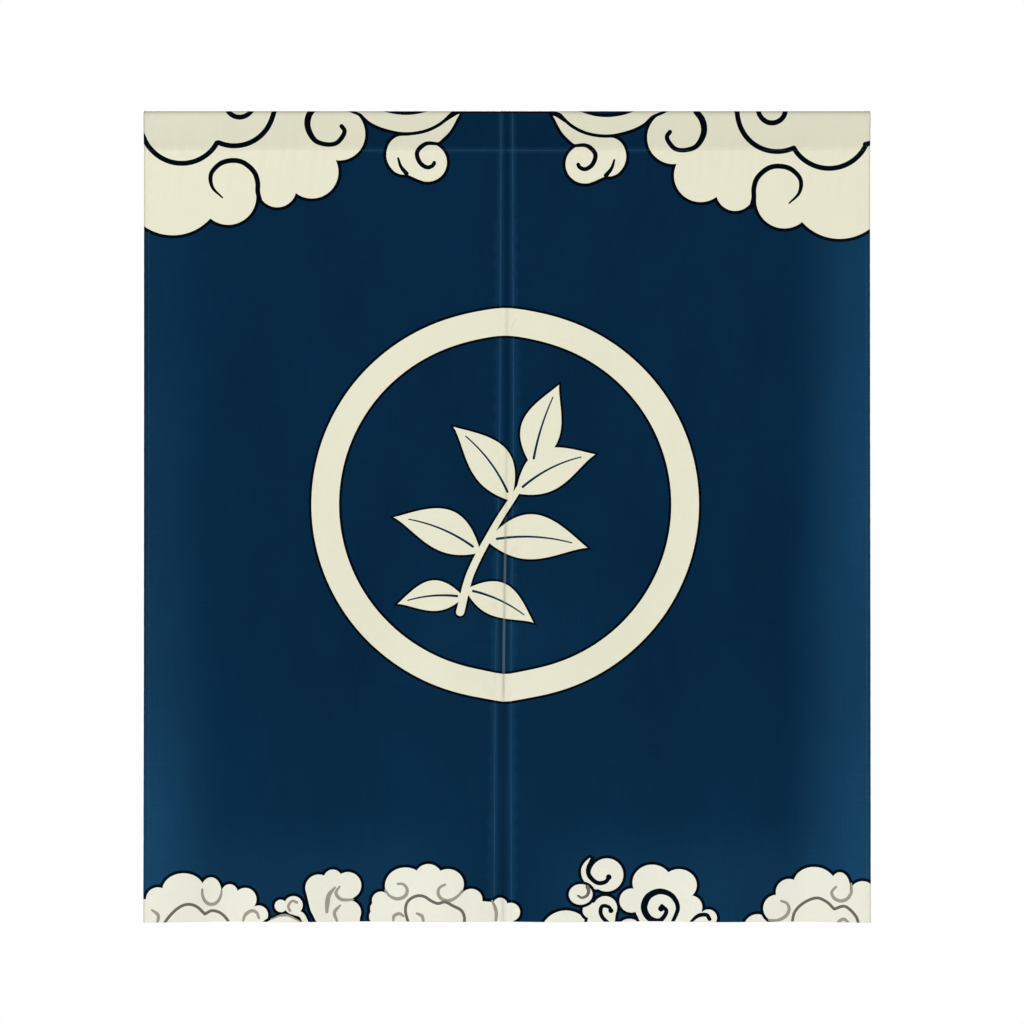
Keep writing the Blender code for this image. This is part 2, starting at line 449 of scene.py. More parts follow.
def cloth_faces(side, x, v):
    """Places and outward directions of the print and of the reverse, with edges rounded."""
    print_out = outward(printed_face, side, x, v)
    reverse_out = -outward(reverse_face, side, x, v)
    thick = layers(side, x, v)[:, None]
    edges = to_edges(side, x, v)
    near = np.maximum(1.0 - edges.min(axis=0)[:, None] / (thick / 2), 0.0)
    level = np.sqrt(1.0 - near**2)
    right, upward = face_steps(printed_face, side, x, v)
    across = OUTWARD[side] * right
    toward_edge = np.choose(edges.argmin(axis=0)[:, None], [across, -across, -upward, upward])
    place = printed_face(side, x, v)
    front = place - print_out * thick / 2 * (1.0 - level)
    back = place - print_out * thick / 2 * (1.0 + level)
    front_out = print_out * level + toward_edge * near
    back_out = reverse_out * level + toward_edge * near
    return front, front_out, back, back_out


thick = layers("left", np.array([-200.0, 3.0 - HALF_WIDTH]), np.full(2, 500.0))
print("the cloth's thickness in the open and on a hem, in mm:", thick.round(2))

# %% [markdown]
# ## The print
# Cloth like this is printed with a few flat inks: pale cream clouds with dark edge lines on a blue
# ground. An image could carry that, but here each motif is charted as discs, arcs and strokes in
# millimetres, x from the middle and then the drop. A painter's list keeps them in order: later
# shapes cover earlier ones.

# %% Inks and pens
GROUND, CREAM, LINE, SOFT_LINE, GREY_LINE = range(5)
CHORD_ERROR = 0.04
painted = []


def along_cloth(drop):
    """The place v of a drop seen from the front: the sleeve curves away, so v is a little more."""
    seen = np.clip(drop, 0.0, SEAM)
    curved = CREST_RADIUS * (1.0 - math.sin(FRONT_SIDE.tangent))
    angle = np.arcsin(1.0 - np.minimum(seen, curved) / CREST_RADIUS)
    length = FRONT_SIDE.run * np.minimum((SEAM - seen) / (SEAM - curved), 1.0)
    length += CREST_RADIUS * (angle - FRONT_SIDE.tangent)
    v = SEAM * (1.0 - length / (FRONT_SIDE.run + FRONT_SIDE.bend))
    return np.where((drop > 0.0) & (drop < SEAM), v, drop)


def paint(ink, *outlines):
    """Add closed outlines, as seen from the front, to the painter's list."""
    for outline in outlines:
        x, drop = np.asarray(outline, dtype=float).T
        painted.append((ink, np.stack([x, along_cloth(drop)], axis=-1)))


def arc(x, drop, radius, start, sweep, end_radius=None, flatten=1.0):
    """Points along an arc or spiral. Angles are degrees, 0 to the right and 90 down."""
    step = math.degrees(math.sqrt(8 * CHORD_ERROR / radius))
    t = np.linspace(0.0, 1.0, max(6, math.ceil(abs(sweep) / step)) + 1)
    angle = np.radians(start + sweep * t)
    reach = radius + ((end_radius or radius) - radius) * t
    return np.stack([x + reach * np.cos(angle), drop + flatten * reach * np.sin(angle)], axis=-1)


def disc(x, drop, radius, half_height=None):
    """A disc, or an oval when it has a half height of its own."""
    return arc(x, drop, radius, 0, 360, flatten=(half_height or radius) / radius)[:-1]


def curve(points, closed=False, spacing=1.8):
    """A soft line through its points."""
    points = np.asarray(points, dtype=float)
    if closed:
        ring = np.concatenate([points[-1:], points, points[:2]])
    else:
        ring = np.concatenate([2 * points[:1] - points[1:2], points, 2 * points[-1:] - points[-2:-1]])
    out = []
    for a, b, c, d in zip(ring, ring[1:], ring[2:], ring[3:]):
        t = np.linspace(0.0, 1.0, max(2, math.ceil(np.linalg.norm(c - b) / spacing)) + 1)[:-1, None]
        bend = (2 * a - 5 * b + 4 * c - d) * t**2 + (3 * b - a - 3 * c + d) * t**3
        out.append(b + 0.5 * ((c - a) * t + bend))
    if not closed:
        out.append(points[-1:])
    return np.concatenate(out)


def stroke(points, *widths):
    """The outline of a pen stroke with round ends. The widths are spread evenly along it."""
    points = np.asarray(points, dtype=float)
    step = np.gradient(points, axis=0)
    step /= np.linalg.norm(step, axis=1, keepdims=True)
    aside = np.stack([-step[:, 1], step[:, 0]], axis=-1)
    run = np.concatenate([[0.0], np.cumsum(np.linalg.norm(np.diff(points, axis=0), axis=1))])
    if len(widths) == 1:
        widths = widths * 2
    half = np.interp(run / run[-1], np.linspace(0, 1, len(widths)), widths)[:, None] / 2
    aside = aside * half
    heading = [math.degrees(math.atan2(*step[i][::-1])) for i in (0, -1)]
    end_cap = arc(*points[-1], half[-1, 0], heading[1] + 90, -180)[1:-1]
    start_cap = arc(*points[0], half[0, 0], heading[0] - 90, -180)[1:-1]
    return np.concatenate([points + aside, end_cap, (points - aside)[::-1], start_cap])


def grown(outline, by):
    """An outline moved outwards all round."""
    outline = np.asarray(outline, dtype=float)
    ahead = np.roll(outline, -1, axis=0) - outline
    behind = outline - np.roll(outline, 1, axis=0)
    ahead /= np.linalg.norm(ahead, axis=1, keepdims=True)
    behind /= np.linalg.norm(behind, axis=1, keepdims=True)
    x, y = outline.T
    turn = math.copysign(1.0, np.sum(x * np.roll(y, -1) - y * np.roll(x, -1)))
    along = ahead + behind
    along /= np.linalg.norm(along, axis=1, keepdims=True)
    miter = np.maximum(np.sum(along * ahead, axis=1), 0.5)[:, None]
    return outline + turn * by * np.stack([along[:, 1], -along[:, 0]], axis=-1) / miter


def cream_shape(*outlines, edge):
    """One cream motif of several outlines, with a dark line all round it."""
    paint(LINE, *[grown(outline, edge) for outline in outlines])
    paint(CREAM, *outlines)


print("a 20 mm disc has", len(disc(0, 0, 20)), "points")

# %% [markdown]
# The corner clouds are heaps of round lobes with dark curls drawn on them. The right-hand ones are
# the left-hand ones seen in a mirror and set a few millimetres lower, because the cloth was cut a
# little out of true.

# %% Corner clouds
TOP_EDGE_LINE = 3.6
CORNER_WAVE_WIDTH = 5.6
MIRROR_SUM = -1.7


def as_is(outline):
    """The left-hand motif."""
    return np.asarray(outline, dtype=float)


def mirrored(lower, nearer=0.0):
    """A copier that gives the right-hand motif, set lower and nearer to the slit."""
    return lambda outline: np.asarray(outline, dtype=float) * (-1, 1) + (MIRROR_SUM - nearer, lower)


CORNER_LOBES = (
    (-371, 82, 55.8), (-309.5, 95, 31.2), (-255, 85.5, 21.3), (-216.6, 67.5, 29.5), (-186.5, 25.5, 29.3),
)
CORNER_BODY = (
    (-420, -5), (-420, 100), (-371, 110), (-310, 98), (-277, 91), (-255, 86), (-216, 76), (-190, 42),
    (-175, -5),
)
CORNER_WAVES = (
    arc(-302.5, -6, 44.6, 113, -113),
    arc(-296.5, -7.6, 15.0, 170, -160),
)
CORNER_CURL = (
    (-316, 96), (-327, 84.5), (-328.5, 70), (-318.5, 58.5), (-304.7, 54.8), (-292, 57.5), (-280.8, 67.5),
    (-276.8, 79), (-276.6, 90), (-274, 100),
)
CORNER_SPIRAL = (
    (-213, -5), (-219.8, 6), (-220.7, 19), (-213, 32.5), (-200.4, 37), (-189.3, 35.5), (-182, 27.8),
    (-180.2, 21.8), (-183.4, 17.2),
)


def corner_cloud(copy, copy_line):
    """The big cloud in a top corner."""
    lobes = [copy(disc(*lobe)) for lobe in CORNER_LOBES]
    cream_shape(*lobes, copy(CORNER_BODY), edge=TOP_EDGE_LINE)
    paint(LINE, copy_line(stroke(curve(CORNER_CURL), 1.8, 4.6, 5.6, 5.6, 5.6, 5.2)))
    paint(LINE, copy_line(stroke(curve(CORNER_SPIRAL), 7.2, 7.2, 6.6, 5.4, 5.0, 5.2, 4.8)))
    for wave in CORNER_WAVES:
        paint(LINE, copy_line(stroke(wave, CORNER_WAVE_WIDTH)))


print("lobes in a corner cloud:", len(CORNER_LOBES))

# %% [markdown]
# Beside each corner cloud, one small cloud curls up on itself, and a sliver of another is cut off
# by the top edge.

# %% Small top clouds
CURL_BODY = (
    (-54, 4), (-72, 15), (-87, 22), (-106, 27), (-121.5, 28.5), (-130.5, 36), (-134, 48), (-131.5, 58.7),
    (-125, 67), (-117.5, 70.3), (-111, 70.5), (-104, 73.4), (-97, 76.4), (-89, 77), (-84, 60), (-80, 38),
    (-74, 33), (-63, 22), (-55, 8),
)
CURL_SPIRAL = (
    (-75.4, 36.5), (-89.5, 36.2), (-98.6, 43.3), (-99.6, 50.4), (-95.6, 58.4), (-88.5, 62.5),
    (-82.5, 60.5), (-80.8, 57.4),
)
CURL_PARTING = ((-120.8, 52.4), (-117.8, 61.5), (-111.5, 69.5))
CRESCENT = (
    (-172, -8), (-161, 4), (-151, 13), (-135, 19.7), (-114, 23.6), (-92, 21), (-74, 12.6), (-62, 1),
    (-55, -8),
)
CRESCENT_HOLLOW = (
    (-152, -13), (-147, -8), (-141, -3), (-128, 1.2), (-112, 2.7), (-97, 1.3), (-84, -3), (-78, -8),
    (-73, -13),
)


def curl_cloud(copy):
    """The small curled cloud."""
    cream_shape(copy(curve(CURL_BODY, closed=True)), copy(disc(-88, 57, 21.3)), edge=TOP_EDGE_LINE)
    paint(LINE, copy(stroke(curve(CURL_SPIRAL), 3.4, 5.0, 5.0, 4.4)))
    paint(LINE, copy(stroke(curve(CURL_PARTING), 2.4, 5.0)))


def crescent_cloud(copy):
    """The sliver of a cloud at the top edge, hollow on its upper side."""
    cream_shape(copy(curve(CRESCENT, closed=True)), edge=TOP_EDGE_LINE)
    hollow = curve(CRESCENT_HOLLOW)
    paint(GROUND, copy(hollow))
    paint(LINE, copy(stroke(hollow, 2.4, 4.4, 2.4)))


# A band of dark line ink along the crest between the clouds: painted shade where the cloth turns over
# the top.
paint(LINE, ((-60, -3), (60, -3), (60, 2.6), (-60, 2.6)))
corner_cloud(as_is, as_is)
paint(LINE, stroke(arc(-361, 12.8, 45.2, 158, -128), CORNER_WAVE_WIDTH))
paint(LINE, stroke(((-410, 15), (-402.3, 30.5)), CORNER_WAVE_WIDTH))
curl_cloud(as_is)
crescent_cloud(as_is)
corner_cloud(mirrored(4.0), mirrored(6.3, nearer=1.0))
paint(LINE, stroke(arc(357.5, 18.4, 45.2, 150, -124), CORNER_WAVE_WIDTH))
paint(LINE, stroke(((397.5, 37), (410, 34)), CORNER_WAVE_WIDTH))
curl_cloud(mirrored(2.0))
crescent_cloud(mirrored(2.5))
print("shapes in the top clouds:", len(painted))

# %% [markdown]
# Along the foot the clouds are cut off by the hem. They are one family but no two are alike, so
# each has a short table: its lobes, the bodies that join them, and its inner lines. The curls are
# a soft grey-brown ink, and the wave through the middle of a cloud is a darker grey.

# %% Foot clouds near the outer edge, left panel
FOOT_EDGE_LINE = 3.4
CURL_WIDTH = 3.8
WAVE_WIDTH = 3.3


def foot_cloud(lobes, bodies=(), soft=(), waves=()):
    """A cloud at the foot, with its soft inner curls and its darker waves."""
    cream_shape(*[disc(*lobe) for lobe in lobes], *bodies, edge=FOOT_EDGE_LINE)
    for line in soft:
        paint(SOFT_LINE, stroke(curve(line), 0.6 * CURL_WIDTH, CURL_WIDTH, CURL_WIDTH, 0.7 * CURL_WIDTH))
    for line in waves:
        paint(GREY_LINE, stroke(curve(line), WAVE_WIDTH))


foot_cloud(
    lobes=(
        (-387, 874, 13), (-359.3, 864.3, 22.8, 18.5), (-328.9, 866.6, 11.4, 15.7), (-308.2, 867.5, 8.8),
        (-290.8, 875.3, 12.6), (-275.6, 892.4, 10.4),
    ),
    bodies=(
        (
            (-405, 905), (-405, 874), (-387, 874), (-358, 873), (-328, 866), (-308, 868), (-291, 875),
            (-276, 892), (-270, 905),
        ),
    ),
    soft=(
        arc(-328.6, 866.1, 11.4, 0, 188, 9.8, flatten=1.39),
        ((-293.5, 900.5), (-291, 893), (-284, 888), (-278, 890), (-275.5, 896)),
        ((-393.5, 885.9), (-386.5, 892), (-387.5, 900.5)),
    ),
    waves=(
        (
            (-380, 901), (-374.2, 893.2), (-367, 886), (-359.4, 881.4), (-351.6, 880.4), (-343.6, 883.6),
            (-335.5, 891.5),
        ),
        ((-335.5, 891.5), (-328, 887.9), (-319.5, 889.9), (-313, 895.2), (-309, 901)),
    ),
)
foot_cloud(lobes=((-250.9, 882, 6.9), (-236.8, 881.2, 10.2), (-246, 927.5, 34)))
cream_shape(stroke(curve(((-236, 889), (-228, 892), (-223, 901))), 6.0), edge=FOOT_EDGE_LINE)
paint(CREAM, disc(-236.8, 881.2, 10.2))
inner_line = ((-232.9, 878.1), (-238.3, 876.5), (-242.6, 882), (-240.6, 887.4))
paint(SOFT_LINE, stroke(curve(inner_line), 3.0))
paint(SOFT_LINE, stroke(curve(((-262, 897), (-246, 892), (-228, 900))), 1.4, 2.4, 1.4))
print("shapes so far:", len(painted))

# %% Foot clouds near the slit, left panel
foot_cloud(
    lobes=((-209, 862, 14.7), (-193.5, 852, 10), (-177, 860, 15), (-176, 890, 13.8)),
    bodies=(
        (
            (-223, 866), (-218, 887), (-209, 905), (-164, 905), (-163, 889), (-178, 876), (-165, 860),
            (-177, 850), (-209, 850),
        ),
    ),
    soft=(
        ((-186, 861), (-190, 868), (-185.5, 874.5), (-179, 876), (-171.4, 875.5)),
        ((-185.4, 882), (-191.6, 889.8), (-188.5, 900)),
    ),
)
brush_line = ((-200, 889), (-199.5, 880), (-197.5, 870), (-191, 862))
paint(SOFT_LINE, stroke(curve(brush_line), 3.4, 5.4, 5.0, 2.4))
foot_cloud(lobes=((65.2, 915.7, 28.7),))
foot_cloud(
    lobes=(
        (-140.1, 876.9, 10), (-142.8, 886, 9.3), (-143.2, 894.7, 10), (-112.6, 860.5, 23, 20.6),
        (-87, 851, 15.3), (-65.5, 858, 17.6, 16.9), (-39.8, 875.8, 12.6), (-7.5, 881.5, 8),
        (4.3, 889.2, 10.2),
    ),
    bodies=(
        (
            (-153, 905), (-150, 890), (-140, 877), (-117, 862), (-85, 852), (-65, 860), (-40, 876),
            (-18, 878), (-5, 882), (5, 890), (8, 905),
        ),
    ),
    soft=(
        (
            (-135.2, 865.4), (-130.5, 871.5), (-122.1, 874.9), (-113.5, 871.9), (-110.8, 864.8),
            (-114.9, 858.7), (-121.5, 858.2),
        ),
        (
            (-49.6, 865), (-54.1, 870.7), (-62.9, 875.9), (-71.8, 874.7), (-76.3, 868.8), (-75, 862.1),
            (-68.8, 858.4),
        ),
        ((-126.5, 900), (-125.3, 893.7), (-119.3, 891.3), (-115, 894)),
        ((-100.3, 890.7), (-94.4, 893.7), (-92.6, 900)),
        ((-16.5, 877), (-13.3, 884), (-11.8, 891.5), (-12.8, 902)),
    ),
    waves=(
        (
            (-109.5, 902), (-112.8, 888), (-110.2, 877.6), (-101.3, 871.7), (-92.5, 871.7),
            (-83.6, 876.9), (-76.3, 879.4), (-68.8, 877.6), (-59.9, 882), (-51.1, 886.8), (-47.4, 893.9),
            (-47.4, 902),
        ),
    ),
)
print("shapes so far:", len(painted))

# %% [markdown]
# The clouds right of the slit are bolder. Their spirals are dark and end inside in a blob, like a
# brush set down and lifted.

# %% Spiral clouds on the right panel
horn_line = curve(((91.8, 829.6), (87.6, 835.5), (85.2, 842.5), (87, 850.5), (91.8, 856), (99, 860.5)))
horn = stroke(horn_line, 1.2, 5.0, 6.5, 7.0, 7.0)
foot_cloud(lobes=((136, 912, 15),))
foot_cloud(lobes=((110.8, 848, 18.4),), bodies=(horn,))
foot_cloud(
    lobes=((109, 884.8, 13.3), (92.7, 887.1, 8.8)),
    bodies=(((93, 880), (109, 874), (121.5, 885), (119, 905), (88, 905)),),
)
foot_cloud(lobes=((81.8, 869.4, 13.2, 11.4),))
small_curl = ((89.2, 861), (90.7, 865.5), (88.7, 870.7), (83.2, 873.1), (78.8, 870.8))
paint(GREY_LINE, stroke(curve(small_curl), 4.4, 2.4))
upper_spiral = (
    (95.8, 829), (91.7, 836.5), (90, 843.6), (92.6, 850.6), (100.4, 856.7), (109.1, 855.8),
    (113.6, 850.4),
)
lower_curl = ((116, 888.3), (113, 883.5), (106, 882.5), (103.8, 888.3), (106, 895), (112, 901))
paint(LINE, stroke(curve(upper_spiral), 3.6, 5.0, 5.2, 4.8, 4.8, 4.4), disc(113, 850.4, 3.2))
paint(LINE, stroke(curve(lower_curl), 3.6, 4.6, 4.2), disc(115.4, 887.6, 2.9))

foot_cloud(
    lobes=(
        (161.3, 856.8, 21.9, 19.9), (191.2, 859.1, 19.4, 17.4), (203.7, 883.6, 13), (138.3, 876.7, 13.4),
        (223.5, 895.3, 9.4),
    ),
    bodies=(
        ((133, 877), (150, 860), (193, 860), (205, 884), (212, 905), (150, 905), (143, 890)),
        ((203, 885), (222, 890), (222, 905), (203, 905)),
    ),
)
Turn = namedtuple("Turn", "angle reach")
BIG_SPIRAL = (
    Turn(52, 22), Turn(0, 20), Turn(-45, 19), Turn(-90, 18.2), Turn(-135, 17.8), Turn(-180, 17.5),
    Turn(-225, 16.4), Turn(-270, 14.3), Turn(-330, 8.5), Turn(-400, 3),
)
SPIRAL_MIDDLE = (169.8, 884.8)
angle, reach = np.array(BIG_SPIRAL).T
ahead = np.stack([np.cos(np.radians(angle)), np.sin(np.radians(angle))], axis=-1)
big_spiral = SPIRAL_MIDDLE + reach[:, None] * ahead
tail_line = ((203.7, 900.5), (212, 893.2), (221.2, 892), (224.7, 896.7))
paint(LINE, stroke(curve(big_spiral), 3.8, 4.8, 5.8, 6.8, 7.8, 7.0, 5.0, 4.5), disc(171.2, 885.8, 3.3))
paint(LINE, stroke(curve(tail_line), 2.8, 4.6, 4.4))
print("shapes so far:", len(painted))

# %% Foot cloud near the outer edge, right panel
foot_cloud(lobes=((278, 907, 15.5),))
foot_cloud(
    lobes=(
        (299.2, 884.9, 14.8), (313.2, 867.4, 14.8), (341.2, 858.3, 23.2, 19.0),
        (369.2, 860.7, 10.8, 16.2), (394, 868.5, 14.5),
    ),
    bodies=(
        (
            (298, 905), (299, 885), (313, 867), (342, 866), (371, 862), (394, 868), (410, 868),
            (410, 905),
        ),
    ),
    soft=(
        ((291, 897.8), (300.3, 898.3), (309, 894.3), (313.4, 887), (311, 879.8), (304.5, 877)),
        (
            (381.4, 857), (381.6, 866), (377.5, 873.3), (370.3, 876.3), (363.3, 873.6), (360.2, 867),
            (364.8, 860.8),
        ),
        ((366, 900.5), (372.8, 896.3), (377.7, 899)),
    ),
    waves=(
        ((316.5, 902), (319.8, 889.2), (329.7, 879.3), (343.8, 873.7), (355, 877.9), (362.9, 885.5)),
        ((362.9, 885.5), (374.7, 882.2), (385.9, 892), (389.8, 902)),
    ),
)
print("shapes in all clouds:", len(painted))

# %% [markdown]
# The ring stands in the middle of the cloth and the slit cuts it in two. It comes to a slight point
# there, where the cloth is drawn in by its hems. Inside it is a plain sprig of leaves in the same
# inks. A leaf is a pointed oval with its widest place nearer the stem, and its midrib is left in
# the ground colour.

# %% Ring and leaf sprig
RING_X = -2.0
RING_DROP = 436.6
RING_OUTER = 215.1
RING_INNER = 184.5
RING_LINE = 2.8
Point = namedtuple("Point", "height reach")
TOP_POINT = Point(height=-2.9, reach=28.0)
FOOT_POINT = Point(height=3.9, reach=18.0)


def ring_disc(radius):
    """A disc with a slight, soft point where the slit cuts it."""
    x, drop = disc(RING_X, RING_DROP, radius).T
    height, reach = [np.where(drop < RING_DROP, *pair) for pair in zip(TOP_POINT, FOOT_POINT)]
    return np.stack([x, drop + height / (1.0 + ((x - RING_X) / reach) ** 2)], axis=-1)


paint(LINE, ring_disc(RING_OUTER + RING_LINE))
paint(CREAM, ring_disc(RING_OUTER))
paint(LINE, ring_disc(RING_INNER))
paint(GROUND, ring_disc(RING_INNER - RING_LINE))

LEAF_LINE = 2.5
STEM = curve(((-52, 556), (-40, 512), (-14, 462), (10, 424), (30, 392)))
Leaf = namedtuple("Leaf", "along angle length width bow")
LEAVES = (
    Leaf(along=0.10, angle=186, length=74, width=34, bow=-5),
    Leaf(along=0.14, angle=-26, length=84, width=38, bow=6),
    Leaf(along=0.38, angle=158, length=104, width=46, bow=-8),
    Leaf(along=0.46, angle=-4, length=112, width=50, bow=8),
    Leaf(along=0.74, angle=128, length=104, width=46, bow=-8),
    Leaf(along=0.80, angle=26, length=98, width=46, bow=8),
    Leaf(along=0.98, angle=72, length=96, width=44, bow=4),
)


def leaf_axis(leaf, start, end):
    """Points up the middle of a leaf between two shares of its length, and the way to its side."""
    base = STEM[round(leaf.along * (len(STEM) - 1))]
    angle = math.radians(leaf.angle)
    ahead = np.array([math.cos(angle), -math.sin(angle)])
    aside = np.array([ahead[1], -ahead[0]])
    t = np.linspace(start, end, 25)[:, None]
    return base + leaf.length * t * ahead + leaf.bow * 4 * t * (1 - t) * aside, aside


def leaf_outline(leaf):
    """A pointed oval round the leaf's axis."""
    axis, aside = leaf_axis(leaf, 0.0, 1.0)
    t = np.linspace(0.0, 1.0, len(axis))[:, None]
    half = leaf.width / 2 * np.sin(math.pi * t**0.82) ** 1.12
    return np.concatenate([axis + aside * half, (axis - aside * half)[-2:0:-1]])


cream_shape(stroke(STEM, 9.0, 6.0), *[leaf_outline(leaf) for leaf in LEAVES], edge=LEAF_LINE)
for leaf in LEAVES:
    paint(GROUND, stroke(leaf_axis(leaf, 0.10, 0.84)[0], 2.8, 1.4))
print("shapes in the whole print:", len(painted))

# %% [markdown]
# To know the ink at a place, the painter's list is gone through in order. A place is inside a
# closed outline when a line drawn from it to the side crosses the outline an odd number of times.
# The sleeve's back has the print in reflection over the crest.

# %% Which ink is where
def inside(outline, x, drop):
    """Whether each place lies in a closed outline."""
    end = np.roll(outline, -1, axis=0)
    rise = end[:, 1] - outline[:, 1]
    slope = (end[:, 0] - outline[:, 0]) / np.where(rise == 0.0, 1.0, rise)
    crosses = (outline[:, 1] > drop[:, None]) != (end[:, 1] > drop[:, None])
    reach = outline[:, 0] + (drop[:, None] - outline[:, 1]) * slope
    return np.count_nonzero(crosses & (x[:, None] < reach), axis=1) % 2 == 1


def ink_at(x, v):
    """The ink at each place of the cloth."""
    drop = np.abs(v)
    ink = np.full(x.shape, GROUND)
    for value, outline in painted:
        low = outline.min(axis=0)
        high = outline.max(axis=0)
        near = np.flatnonzero((x > low[0]) & (x < high[0]) & (drop > low[1]) & (drop < high[1]))
        ink[near[inside(outline, x[near], drop[near])]] = value
    return ink


print("ink in the ring's band:", ink_at(np.array([RING_X]), np.array([RING_DROP - 200.0])))

# %% [markdown]
# Most of those outlines are hidden under later shapes. Only the stretches where the ink really
# changes from one side to the other become cutting lines, so the mesh spends no faces on the rest.

# %% Cutting lines between inks
SIDE_LOOK = 0.08
PAST_SLIT = 8.0
PAST_OUTER = 4.0
PAST_ENDS = 3.0


def ink_borders(side):
    """Short straight lines (start, end) on a panel where the ink changes."""
    start = np.concatenate([outline for _, outline in painted])
    end = np.concatenate([np.roll(outline, -1, axis=0) for _, outline in painted])
    start = np.concatenate([start, start * (1, -1)])
    end = np.concatenate([end, end * (1, -1)])
    x, v = ((start + end) / 2).T
    on_cloth = (OUTWARD[side] * x > -PAST_SLIT) & (np.abs(x) < HALF_WIDTH + PAST_OUTER)
    on_cloth &= (v > SLEEVE_END - PAST_ENDS) & (v < HEIGHT + PAST_ENDS)
    start = start[on_cloth]
    end = end[on_cloth]
    step = end - start
    aside = np.stack([-step[:, 1], step[:, 0]], axis=-1)
    aside *= SIDE_LOOK / np.maximum(np.linalg.norm(aside, axis=1, keepdims=True), 1e-9)
    changes = np.zeros(len(start), dtype=bool)
    for share in (0.1, 0.5, 0.9):
        look = start + share * step
        changes |= ink_at(*(look + aside).T) != ink_at(*(look - aside).T)
    return start[changes], end[changes]


print("points on all outlines:", sum(len(outline) for _, outline in painted))

# %% [markdown]
# ## Cutting the flat sheet
# Each panel is laid flat and divided into triangles that keep to every line that matters: ink
# borders, edges, hems and rows of stitches. Blender can do that in one call, a constrained Delaunay
# triangulation. Between the lines there is a loose grid, finer where the cloth puckers.

# %% Lines of the flat sheet
EDGE_ROUNDING = (0.0, 0.08, 0.24, 0.53)
HEM_END = (0.0, HEM_STEP / 2, HEM_STEP)
ROUND_STITCHES = (-1.8, -0.9, 0.0, 0.9, *[PAST_STITCH + step for step in HEM_END])
# Between these distances from the slit its painted gap shade ends, so that band has lines of its own.
SLIT_GAP_SHADE = (1.1, 1.8)
ROUND_SEAM = (-1.6, -0.8, 0.0, 0.8, 1.6)
LINE_SPACING = 3.6


def lines_down(side):
    """Lines from the sleeve's end to the foot, along both edges and both rows of stitches."""
    v = np.linspace(SLEEVE_END, HEIGHT, round((HEIGHT - SLEEVE_END) / LINE_SPACING))
    outer = STITCH_LINES[side].outer
    slit = slit_stitch_inset(side, v)
    for inset in (*EDGE_ROUNDING, outer / 2, *[outer + step for step in ROUND_STITCHES]):
        yield np.stack([np.full_like(v, OUTWARD[side] * (HALF_WIDTH - inset)), v], axis=-1)
    for inset in (*EDGE_ROUNDING, *SLIT_GAP_SHADE, slit / 2, *[slit + step for step in ROUND_STITCHES]):
        yield np.stack([slit_edge(side, v) + OUTWARD[side] * inset, v], axis=-1)


def lines_across(side):
    """Lines across the panel at the sleeve's end, its tucked edge, the seam and the foot."""
    rows = [SLEEVE_END + inset for inset in EDGE_ROUNDING]
    rows += [SLEEVE_END + TUCKED + step for step in HEM_END]
    rows += [seam + step for seam in (-SEAM, SEAM) for step in ROUND_SEAM]
    rows += [HEIGHT - FOOT_HEM - step for step in HEM_END]
    rows += [HEIGHT - inset for inset in EDGE_ROUNDING]
    for v in rows:
        ends = sorted((OUTWARD[side] * HALF_WIDTH, float(slit_edge(side, v))))
        x = np.linspace(*ends, round(HALF_WIDTH / LINE_SPACING))
        yield np.stack([x, np.full_like(x, v)], axis=-1)


print("lines down and across a panel:", len(list(lines_down("left"))), len(list(lines_across("left"))))

# %% Loose grid of the flat sheet
Band = namedtuple("Band", "start end row_step column_step")
GRID_BANDS = (
    Band(start=SLEEVE_END + 2.0, end=SEAM - 3.0, row_step=2.0, column_step=4.0),
    Band(start=SEAM + 4.0, end=120.0, row_step=5.0, column_step=3.8),
    Band(start=120.0, end=HEIGHT - 9.0, row_step=10.0, column_step=7.2),
)
CLEAR_OF_HEM = 4.0
CLEAR_OF_LINES = 1.5


def grid_points(side):
    """The loose grid inside the hems, every other row shifted by half a step."""
    for band in GRID_BANDS:
        for i, v in enumerate(np.arange(band.start, band.end, band.row_step)):
            x = np.arange(-HALF_WIDTH, HALF_WIDTH, band.column_step) + (i % 2) * band.column_step / 2
            row = np.stack([x, np.full_like(x, v)], axis=-1)
            inner = from_outer(side, x) > STITCH_LINES[side].outer + CLEAR_OF_HEM
            inner &= from_slit(side, x, v) > slit_stitch_inset(side, v) + CLEAR_OF_HEM
            yield row[inner]


def clear_points(points, lines):
    """The points that lie clear of every line's points."""
    tree = kdtree.KDTree(len(lines))
    for i, point in enumerate(lines):
        tree.insert((*point, 0.0), i)
    tree.balance()
    return np.array([point for point in points if tree.find((*point, 0.0))[2] > CLEAR_OF_LINES])


print("points in the left panel's loose grid:", sum(len(row) for row in grid_points("left")))

# %% [markdown]
# Equal points are joined before the call, so that lines which touch share a corner. Afterwards the
# triangles outside the panel go, and so do those with all three corners on its edge, because front
# and back would lie in each other there.

# %% Triangulation
POINT_GRAIN = 1e-3
ON_EDGE = 0.02


